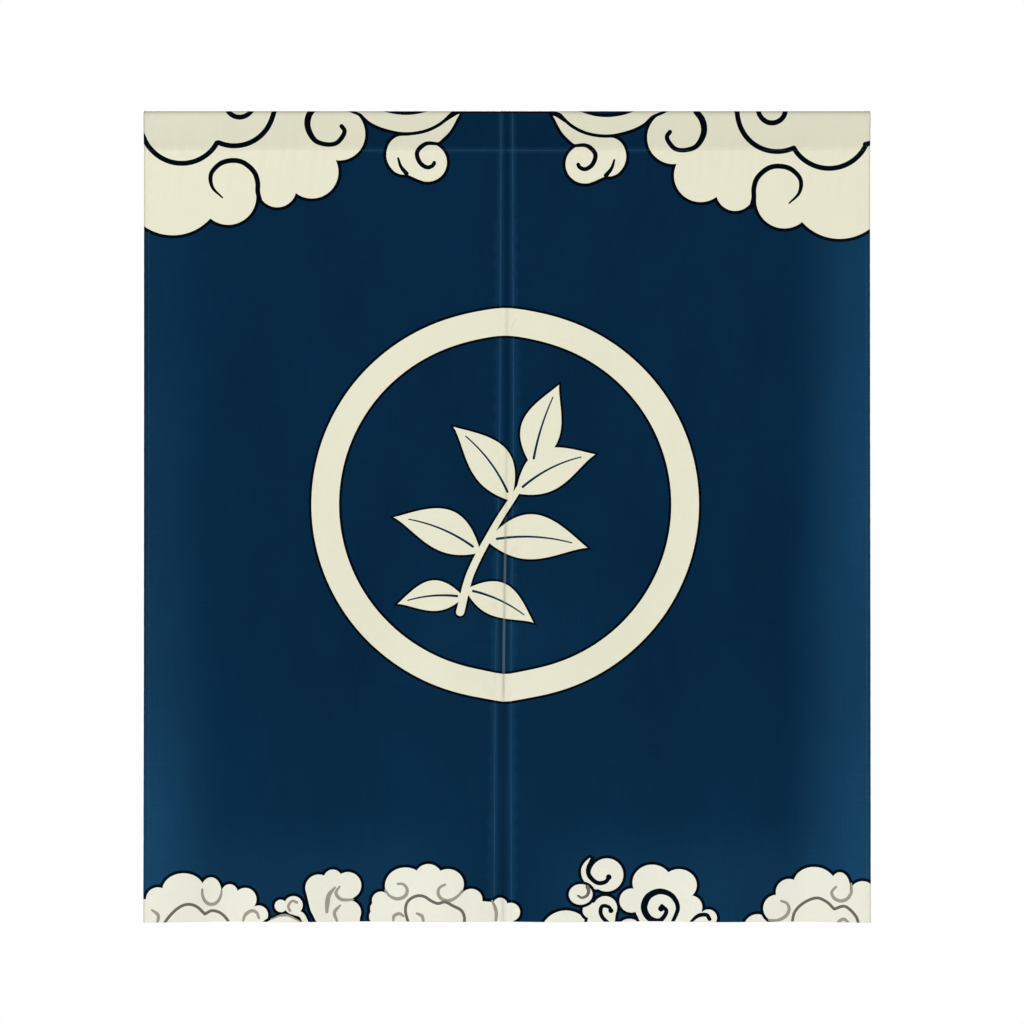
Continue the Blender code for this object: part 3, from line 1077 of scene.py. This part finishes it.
def flat_sheet(side):
    """The panel laid flat: places (x, v), triangles, and the ink of each triangle."""
    starts, ends = ink_borders(side)
    for line in (*lines_down(side), *lines_across(side)):
        starts = np.concatenate([starts, line[:-1]])
        ends = np.concatenate([ends, line[1:]])
    loose = clear_points(np.concatenate(list(grid_points(side))), np.concatenate([starts, ends]))
    every = np.concatenate([starts, ends, loose])
    grain, which = np.unique(np.round(every / POINT_GRAIN).astype(int), axis=0, return_inverse=True)
    which = which.ravel()
    pairs = np.sort(np.stack([which[: len(starts)], which[len(starts) : 2 * len(starts)]], axis=-1))
    pairs = np.unique(pairs[pairs[:, 0] != pairs[:, 1]], axis=0)
    points = [Vector(point) for point in grain * POINT_GRAIN]
    out = delaunay_2d_cdt(points, pairs.tolist(), [], 0, 1e-4, False)
    place = np.array([tuple(point) for point in out[0]])
    triangles = np.array(out[2])

    x, v = place[triangles].mean(axis=1).T
    keep = (from_outer(side, x) > 0) & (from_slit(side, x, v) > 0) & (v > SLEEVE_END) & (v < HEIGHT)
    inner = to_edges(side, *place.T).min(axis=0) > ON_EDGE
    triangles = triangles[keep & inner[triangles].any(axis=1)]
    used, triangles = np.unique(triangles, return_inverse=True)
    place = place[used]
    triangles = triangles.reshape(-1, 3)
    return place, triangles, ink_at(*place[triangles].mean(axis=1).T)


sheets = {side: flat_sheet(side) for side in OUTWARD}
for side, (place, triangles, inks) in sheets.items():
    print(side, "sheet:", len(place), "points,", len(triangles), "triangles, inks", np.bincount(inks))

# %% [markdown]
# ## Wear and painted shade
# The dark inks are paler down the outer edges, a little all over, more in the lower part and near
# the foot, beside the slit a little below the middle, and along the slit's stitches and the seam.
# The slit's edges are painted grey a little below the middle: painted shade of the narrow gap
# between the panels. The sleeve's front, its crest, the slit and the outer edges are drawn darker
# with painted shade. These soft changes are worked out for each point of the sheet, and the finishes
# read them by name.

# %% Wear and painted shade of the sheet
EdgeFade = namedtuple("EdgeFade", "drop left right")
EDGE_FADES = (
    EdgeFade(drop=0, left=0.12, right=0.34),
    EdgeFade(drop=210, left=0.22, right=0.62),
    EdgeFade(drop=430, left=0.36, right=0.78),
    EdgeFade(drop=655, left=0.56, right=0.76),
    EdgeFade(drop=790, left=0.82, right=0.87),
    EdgeFade(drop=900, left=0.86, right=0.90),
)
FADE_WIDE = 100.0
EVEN_FADE = 0.06
LOW_FADE = 0.11
FOOT_FADE = 0.26
HAND_FADE = 0.14
HAND_DROP = 585.0
SLIT_LINE_FADE = 0.54
SEAM_FADE = 0.36
LINE_WIDE = 2.4
# Painted shade: grey on the slit's edges a little below the middle, for the shaded gap between panels.
GAP_SHADE_SHARE = 0.5
GAP_SHADE_FROM = 446.0
GAP_SHADE_TO = 640.0
GAP_SHADE_BLUR = 20.0
# Painted shade: how much darker the sleeve's front, the slit, the outer edges and the crest are drawn.
SLEEVE_SHADE = 0.09
SLIT_SHADE = 0.12
OUTER_SHADE = 0.35
CREST_SHADE = 0.5


def wear_and_shade(side, x, v):
    """How much paler the dye is, the slit's painted gap shade, and the painted brightness."""
    drop = np.abs(v)
    stops = [row.drop for row in EDGE_FADES]
    outer = from_outer(side, x)
    slit = from_slit(side, x, v)
    paled = np.interp(drop, stops, [getattr(row, side) for row in EDGE_FADES])
    paled *= 1.0 - smooth(outer, 0.0, FADE_WIDE)
    paled += EVEN_FADE + LOW_FADE * smooth(drop, 600.0, 780.0)
    near_foot = FOOT_FADE * smooth(drop, 770.0, 860.0)
    paled += near_foot * smooth(slit, 0.0, 110.0) * smooth(outer, 0.0, FADE_WIDE)
    paled += HAND_FADE * bell(drop - HAND_DROP, 110.0) * (1.0 - smooth(slit, 60.0, 160.0))
    to_slit_line = np.abs(slit - slit_stitch_inset(side, v)) / LINE_WIDE
    paled += SLIT_LINE_FADE * np.exp(-(to_slit_line**2))
    paled += SEAM_FADE * np.exp(-(((drop - SEAM) / LINE_WIDE) ** 2))

    # Painted shade of the gap between the panels, as grey on the slit's edges.
    gap_shade = GAP_SHADE_SHARE * smooth(drop, GAP_SHADE_FROM, GAP_SHADE_FROM + GAP_SHADE_BLUR)
    below_soil = smooth(drop, GAP_SHADE_TO, GAP_SHADE_TO + GAP_SHADE_BLUR)
    gap_shade *= (1.0 - below_soil) * (1.0 - smooth(slit, *SLIT_GAP_SHADE))

    # bright is painted shade: darker on the sleeve's front, beside the slit, on the outer edges and the
    # crest.
    bright = 1.0 - SLEEVE_SHADE * (1.0 - smooth(drop, 38.0, 45.0))
    slit_shade = SLIT_SHADE * np.exp(-((slit / 2.5) ** 2))
    bright -= slit_shade + OUTER_SHADE * np.exp(-((outer / 1.0) ** 2))
    bright *= 1.0 - CREST_SHADE * np.exp(-((v / 5.0) ** 2))
    return np.stack([paled, gap_shade, bright], axis=-1)


corner = wear_and_shade("left", np.array([-400.0]), np.array([880.0]))
print("paled, soiled and bright in the left foot corner:", corner.round(2))

# %% [markdown]
# ## The finishes
# The finish of the cloth is plain weave: each thread goes over one and under the next. It is drawn
# by nodes from the cloth's own place in metres, so the weave follows every fold and the sleeve.
# First comes a helper that adds a node and links it.

# %% Node helpers
def add_node(tree, kind, inputs, **settings):
    """Add a node. Each input is a value, or another node's output to link from."""
    node = tree.nodes.new("ShaderNode" + kind)
    for name, value in settings.items():
        setattr(node, name, value)
    for name, value in inputs.items():
        if isinstance(value, bpy.types.NodeSocket):
            tree.links.new(value, node.inputs[name])
        else:
            node.inputs[name].default_value = value
    return node


def maths(tree, operation, *values):
    """A sum on one or two values, as a node's output."""
    return add_node(tree, "Math", dict(enumerate(values)), operation=operation).outputs["Value"]


def ramp(tree, value, low, high, to_low, to_high):
    """Carry a value from one range to another, held at both ends."""
    names = ("Value", "From Min", "From Max", "To Min", "To Max")
    inputs = dict(zip(names, (value, low, high, to_low, to_high)))
    return add_node(tree, "MapRange", inputs).outputs["Result"]


# %% [markdown]
# A thread's height across its own width is half a sine wave. Where the product of the two waves is
# above zero the lengthwise thread is on top, elsewhere the crosswise one is. Unevenness comes from
# noise stretched along each thread's direction, which gives thick and thin places.

# %% Weave and slubs
THREAD_PITCH = 0.00062
CLOTH_PLACE = "cloth_place"
# The sheet's attribute holds the paling, the slit's painted gap shade and the painted shade.
CLOTH_WEAR_AND_SHADE = "cloth_wear_and_shade"


def weave_height(tree, along_x, along_v):
    """Height of a plain weave, from 0 to 1."""
    wave_x = maths(tree, "SINE", maths(tree, "MULTIPLY", along_x, math.pi / THREAD_PITCH))
    wave_v = maths(tree, "SINE", maths(tree, "MULTIPLY", along_v, math.pi / THREAD_PITCH))
    over = maths(tree, "GREATER_THAN", maths(tree, "MULTIPLY", wave_x, wave_v), 0.0)
    inputs = {"Factor": over, "A": maths(tree, "ABSOLUTE", wave_v), "B": maths(tree, "ABSOLUTE", wave_x)}
    return add_node(tree, "Mix", inputs, data_type="FLOAT").outputs["Result"]


def slubs(tree, place, scale, detail=2.0):
    """Noise stretched by a scale of its own in each direction."""
    stretched = add_node(tree, "VectorMath", {0: place, 1: scale}, operation="MULTIPLY")
    inputs = {"Vector": stretched.outputs["Vector"], "Scale": 1.0, "Detail": detail}
    return add_node(tree, "TexNoise", inputs).outputs["Fac"]


print("threads to the centimetre:", round(0.01 / THREAD_PITCH, 1))

# %% [markdown]
# Dye isn't even either: it is a little thin on thick threads and cloudy over wider stretches. The
# dark inks are paler where the sheet's attribute says so, and the cream is whiter towards the foot.
# So each ink has a fresh and a paled colour, and the attribute or the drop says how much of each
# shows. The slit's painted gap shade greys dark and pale inks alike, but it starts from different
# colours. The attribute's painted shade then darkens every ink.

# %% Printed canvas
# Greys for the slit's painted gap shade, one for the dark inks and one for the pale ones.
GAP_SHADE_TINT = {"wear_and_shade": (0.145, 0.205, 0.250, 1.0), "drop": (0.52, 0.49, 0.40, 1.0)}
ALONG = (1500.0, 22.0, 1.0)
ACROSS = (22.0, 1500.0, 1.0)
CLOUDS = (14.0, 5.0, 1.0)
WEAVE_RISE = 0.5
SLUB_RISE = 0.9


def blended(tree, share, first, second):
    """A colour between two colours or colour outputs."""
    return add_node(tree, "Mix", {0: share, 6: first, 7: second}, data_type="RGBA").outputs[2]


def canvas(name, fresh, paled, slub_shade, pales_by="wear_and_shade", roughness=0.9):
    """A canvas finish in one ink, which pales by the sheet's attribute or by drop, and takes painted
    shade.
    """
    material = bpy.data.materials.new(name)
    material.use_nodes = True
    tree = material.node_tree
    shader = tree.nodes["Principled BSDF"]
    place = add_node(tree, "UVMap", {}, uv_map=CLOTH_PLACE).outputs["UV"]
    split = add_node(tree, "SeparateXYZ", {"Vector": place})
    along_x, along_v = split.outputs["X"], split.outputs["Y"]
    worn_and_shaded = add_node(tree, "Attribute", {}, attribute_name=CLOTH_WEAR_AND_SHADE).outputs["Vector"]
    worn_and_shaded = add_node(tree, "SeparateXYZ", {"Vector": worn_and_shaded})

    lengthwise = slubs(tree, place, ALONG)
    crosswise = slubs(tree, place, ACROSS)
    threads = maths(tree, "SUBTRACT", maths(tree, "ADD", lengthwise, crosswise), 1.0)
    cloudy = maths(tree, "SUBTRACT", slubs(tree, place, CLOUDS, 3.0), 0.5)
    share = worn_and_shaded.outputs["X"] if pales_by == "wear_and_shade" else ramp(tree, along_v, 0.60, 0.86, 0.0, 1.0)
    tint = blended(tree, share, (*fresh, 1.0), (*paled, 1.0))
    # The attribute's Y greys the ink along the slit: painted shade of the gap between the panels.
    tint = blended(tree, worn_and_shaded.outputs["Y"], tint, GAP_SHADE_TINT[pales_by])
    shade = maths(tree, "MULTIPLY", threads, slub_shade)
    shade = maths(tree, "ADD", shade, maths(tree, "MULTIPLY", cloudy, slub_shade))
    # The attribute's Z is painted shade on the sleeve's front, its crest, the slit and the outer edges.
    shade = maths(tree, "ADD", shade, worn_and_shaded.outputs["Z"])
    tint = add_node(tree, "VectorMath", {0: tint, "Scale": shade}, operation="SCALE")
    tree.links.new(tint.outputs["Vector"], shader.inputs["Base Color"])

    weave = weave_height(tree, along_x, along_v)
    rises = (maths(tree, "MULTIPLY", weave, WEAVE_RISE), maths(tree, "MULTIPLY", threads, SLUB_RISE))
    inputs = {"Height": maths(tree, "ADD", *rises), "Strength": 0.8, "Distance": 0.0002}
    tree.links.new(add_node(tree, "Bump", inputs).outputs["Normal"], shader.inputs["Normal"])
    rough = ramp(tree, weave, 0.0, 1.0, roughness + 0.06, roughness - 0.06)
    tree.links.new(rough, shader.inputs["Roughness"])
    shader.inputs["Specular IOR Level"].default_value = 0.03
    return material


Ink = namedtuple("Ink", "name fresh paled slub_shade pales_by")
INKS = (
    Ink("navy", (0.0009, 0.0168, 0.0470), (0.0075, 0.0545, 0.1220), 0.35, "wear_and_shade"),
    Ink("cream", (0.795, 0.780, 0.610), (0.845, 0.842, 0.728), 0.04, "drop"),
    Ink("dark line", (0.0004, 0.0018, 0.0050), (0.0010, 0.0050, 0.0130), 0.30, "wear_and_shade"),
    Ink("soft line", (0.345, 0.322, 0.270), (0.345, 0.322, 0.270), 0.12, "drop"),
    Ink("grey line", (0.150, 0.146, 0.122), (0.150, 0.146, 0.122), 0.15, "drop"),
)
finishes = [canvas(f"{ink.name} canvas", *ink[1:]) for ink in INKS]
print("printed finishes:", [material.name for material in finishes])

# %% [markdown]
# The print sits on one side of the cloth. On the reverse the dye has only come through the weave,
# so every ink is paler and they lie closer together. The hems are turned over, so there the printed
# side shows on the back as well.

# %% Reverse of the canvas
REVERSE_INKS = (
    Ink("navy", (0.030, 0.070, 0.125), (0.045, 0.100, 0.170), 0.6, "wear_and_shade"),
    Ink("cream", (0.60, 0.60, 0.48), (0.64, 0.64, 0.53), 0.10, "drop"),
    Ink("dark line", (0.020, 0.045, 0.080), (0.030, 0.065, 0.110), 0.6, "wear_and_shade"),
    Ink("soft line", (0.40, 0.37, 0.31), (0.40, 0.37, 0.31), 0.2, "drop"),
    Ink("grey line", (0.28, 0.27, 0.23), (0.28, 0.27, 0.23), 0.2, "drop"),
)
finishes += [canvas(f"{ink.name} reverse", *ink[1:]) for ink in REVERSE_INKS]
print("all finishes of the cloth:", len(finishes))

# %% [markdown]
# ## Hanging the sheet
# Each flat point now gets its place on the print and its place on the reverse. Points on an edge
# are shared by both faces, which closes the mesh. The finish of a triangle is its ink, and that
# ink's reverse on the back, except on a hem.

# %% Panels
MM = 0.001


def hang_panel(side):
    """One panel as a closed mesh, from the flat sheet and the function of the hanging cloth."""
    place, triangles, inks = sheets[side]
    front, front_out, back, back_out = cloth_faces(side, *place.T)
    inner = np.flatnonzero(to_edges(side, *place.T).min(axis=0) > ON_EDGE)
    behind = np.arange(len(place))
    behind[inner] = len(place) + np.arange(len(inner))
    verts = np.concatenate([front, back[inner]]) * MM
    normals = np.concatenate([front_out, back_out[inner]])
    faces = np.concatenate([triangles[:, ::-1], behind[triangles]])
    x, v = place[triangles].mean(axis=1).T
    hemmed = (to_edges(side, x, v) < hem_widths(side, v)).any(axis=0)
    finish = np.concatenate([inks, inks + np.where(hemmed, 0, len(INKS))])

    mesh = bpy.data.meshes.new(f"canvas_{side}")
    mesh.from_pydata(verts, [], faces)
    for material in finishes:
        mesh.materials.append(material)
    mesh.polygons.foreach_set("material_index", finish.astype(np.int32))
    corners = np.concatenate([place, place[inner]])[faces.ravel()] * MM
    mesh.uv_layers.new(name=CLOTH_PLACE).data.foreach_set("uv", corners.astype(np.float32).ravel())
    # Paling, the slit's painted gap shade and the painted shade, for each point of both faces.
    worn_and_shaded = wear_and_shade(side, *np.concatenate([place, place[inner]]).T)
    mesh.attributes.new(CLOTH_WEAR_AND_SHADE, "FLOAT_VECTOR", "POINT").data.foreach_set("vector", worn_and_shaded.ravel())
    mesh.shade_smooth()
    normals /= np.linalg.norm(normals, axis=1, keepdims=True)
    mesh.normals_split_custom_set_from_vertices(normals)
    obj = bpy.data.objects.new(mesh.name, mesh)
    bpy.context.scene.collection.objects.link(obj)
    return obj


panels = {side: hang_panel(side) for side in OUTWARD}
for side, panel in panels.items():
    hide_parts(f"panel_{side}", f"sleeve_{side}")
    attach(panel, "root")
    print(panel.name, "has", len(panel.data.polygons), "triangles")

# %% [markdown]
# ## The sewing
# A lockstitch is a short run of thread that dips into the cloth at both ends. Each one is a small
# bent tube laid on the cloth's own surface. They are made all at once with arrays, because there
# are some thousands of them. Cloth of this kind is printed once it is sewn, so each stitch takes
# the ink round it.

# %% Stitches
STITCH_PITCH = 3.3
STITCH_LENGTH = 2.7
THREAD_RADIUS = 0.15
ROW_MARGIN = 2.0
STITCH_DIP = 0.12
STITCH_RISE = 0.20
RING_SIDES = 5
STATIONS = np.linspace(-0.5, 0.5, 5)


def stitch_tubes(side, face, facing, x_line, v_line):
    """Rings of points round each stitch along a line of a face of the cloth, and each one's ink."""
    run = np.concatenate([[0.0], np.cumsum(np.hypot(np.diff(x_line), np.diff(v_line)))])
    stops = np.arange(ROW_MARGIN, run[-1] - ROW_MARGIN, STITCH_PITCH)[:, None] + STATIONS * STITCH_LENGTH
    x = np.interp(stops.ravel(), run, x_line)
    v = np.interp(stops.ravel(), run, v_line)
    out = facing * outward(face, side, x, v)
    hump = np.abs(np.cos(math.pi * STATIONS)) ** 0.6
    lift = np.tile(STITCH_RISE * hump - STITCH_DIP, len(stops))[:, None]
    centre = face(side, x, v) + out * lift
    ahead = np.gradient(centre.reshape(len(stops), -1, 3), axis=1).reshape(-1, 3)
    ahead /= np.linalg.norm(ahead, axis=1, keepdims=True)
    aside = np.cross(ahead, out)
    radius = np.tile(THREAD_RADIUS * (0.45 + 0.55 * hump), len(stops))[:, None, None]
    angle = math.tau * np.arange(RING_SIDES) / RING_SIDES
    rings = aside[:, None] * np.cos(angle)[:, None] + out[:, None] * np.sin(angle)[:, None]
    rings = (centre[:, None] + rings * radius).reshape(-1, len(STATIONS), RING_SIDES, 3)
    middle = slice(len(STATIONS) // 2, None, len(STATIONS))
    return rings, ink_at(x[middle], v[middle])


print("stitches to 10 cm:", round(100 / STITCH_PITCH))

# %% [markdown]
# Every row of stitches is a line on the flat cloth and a face to lie on. The side and slit hems
# show a row on both faces. The sleeve's seam shows on the front and on the turned-over back. The
# foot hem is sewn blind: its thread shows only on the back.

# %% Rows of stitches
FOOT_ROW_LOWER = 0.8


def stitch_rows(side):
    """Every row of stitches of a panel: the face, the way it looks, and its line."""
    v = np.linspace(SLEEVE_END + 1.0, HEIGHT - 0.6, 240)
    outer = np.full_like(v, OUTWARD[side] * (HALF_WIDTH - STITCH_LINES[side].outer))
    slit = slit_edge(side, v) + OUTWARD[side] * slit_stitch_inset(side, v)
    below = v > SLEEVE_FOOT + 1.0
    for line in (outer, slit):
        yield printed_face, 1.0, line, v
        yield reverse_face, -1.0, line[below], v[below]
    x = np.linspace(*sorted((OUTWARD[side] * HALF_WIDTH, float(slit_edge(side, SEAM)))), 120)
    yield printed_face, 1.0, x, np.full_like(x, SEAM)
    yield printed_face, 1.0, x, np.full_like(x, -SEAM)
    foot = x[3:-3]
    yield reverse_face, -1.0, foot, np.full_like(foot, HEIGHT - FOOT_HEM + FOOT_ROW_LOWER)


def sew(side):
    """All the thread of one panel, as one mesh."""
    rows, inks = zip(*[stitch_tubes(side, *row) for row in stitch_rows(side)])
    rings = np.concatenate(rows)
    pale = (np.concatenate(inks) == CREAM).astype(np.int32)
    index = np.arange(rings[..., 0].size).reshape(rings.shape[:3])
    beside = np.roll(index, -1, axis=2)
    quads = np.stack([index[:, :-1], index[:, 1:], beside[:, 1:], beside[:, :-1]], axis=-1)
    caps = index[:, 0].tolist() + index[:, -1, ::-1].tolist()
    mesh = bpy.data.meshes.new(f"thread_{side}")
    mesh.from_pydata(rings.reshape(-1, 3) * MM, [], quads.reshape(-1, 4).tolist() + caps)
    for material in thread_finishes:
        mesh.materials.append(material)
    finish = np.concatenate([np.repeat(pale, (len(STATIONS) - 1) * RING_SIDES), pale, pale])
    mesh.polygons.foreach_set("material_index", finish)
    mesh.shade_smooth()
    around = np.broadcast_to(np.arange(RING_SIDES) / RING_SIDES, index.shape)
    along = np.broadcast_to(STATIONS[:, None] * STITCH_LENGTH, index.shape)
    loops = np.empty(len(mesh.loops), dtype=np.int32)
    mesh.loops.foreach_get("vertex_index", loops)
    corners = np.stack([along, around], axis=-1).reshape(-1, 2)[loops]
    mesh.uv_layers.new(name=CLOTH_PLACE).data.foreach_set("uv", corners.astype(np.float32).ravel())
    obj = bpy.data.objects.new(mesh.name, mesh)
    bpy.context.scene.collection.objects.link(obj)
    print(mesh.name, "has", len(rings), "stitches")
    return obj


print("rows of stitches on a panel:", len(list(stitch_rows("left"))))

# %% [markdown]
# Sewing thread is two or three plies twisted together. The twist shows as slanting ridges, which a
# wave along the thread gives when its phase turns once on the way round. The same wave paints the
# grooves between the plies darker, as painted shade.

# %% Thread
TWIST = 1.6


def thread_finish(name, low, high):
    """Spun thread with a twist: a low colour between the plies as painted shade, a high one on them."""
    material = bpy.data.materials.new(name)
    material.use_nodes = True
    tree = material.node_tree
    shader = tree.nodes["Principled BSDF"]
    place = add_node(tree, "UVMap", {}, uv_map=CLOTH_PLACE).outputs["UV"]
    split = add_node(tree, "SeparateXYZ", {"Vector": place})
    phase = maths(tree, "ADD", maths(tree, "MULTIPLY", split.outputs["X"], TWIST), split.outputs["Y"])
    twist = maths(tree, "ABSOLUTE", maths(tree, "SINE", maths(tree, "MULTIPLY", phase, math.pi)))
    tree.links.new(blended(tree, twist, (*low, 1.0), (*high, 1.0)), shader.inputs["Base Color"])
    bump = add_node(tree, "Bump", {"Height": twist, "Strength": 0.7, "Distance": 0.0001})
    tree.links.new(bump.outputs["Normal"], shader.inputs["Normal"])
    shader.inputs["Roughness"].default_value = 0.6
    return material


thread_finishes = [
    thread_finish("blue thread", (0.030, 0.062, 0.100), (0.075, 0.130, 0.190)),
    thread_finish("cream thread", (0.640, 0.625, 0.490), (0.800, 0.785, 0.640)),
]
FLAT_LENGTH = (HEIGHT - SEAM) + front_length + back_length + TUCKED + FOOT_HEM
for side, panel in panels.items():
    thread = sew(side)
    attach(thread, "root")
    turned = STITCH_LINES[side].outer + STITCH_LINES[side].slit_foot + 2 * PAST_STITCH
    flat = ((HALF_WIDTH + turned) * MM, FLAT_LENGTH * MM)
    print(panel.name, "was cut as", [round(length, 3) for length in flat], "m")

# %% [markdown]
# ## The size, once more
# Both boxes, of the solids and of the dressed curtain, are printed side by side. The dressed
# curtain may not outgrow its solids.

# %% Print both sizes
visual_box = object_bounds()
boxes = {"cad": [list(corner) for corner in cad_box], "visual": [list(corner) for corner in visual_box]}
for name, (low, high) in boxes.items():
    print(name, "size in mm:", [round(1000 * (b - a), 1) for a, b in zip(low, high)])
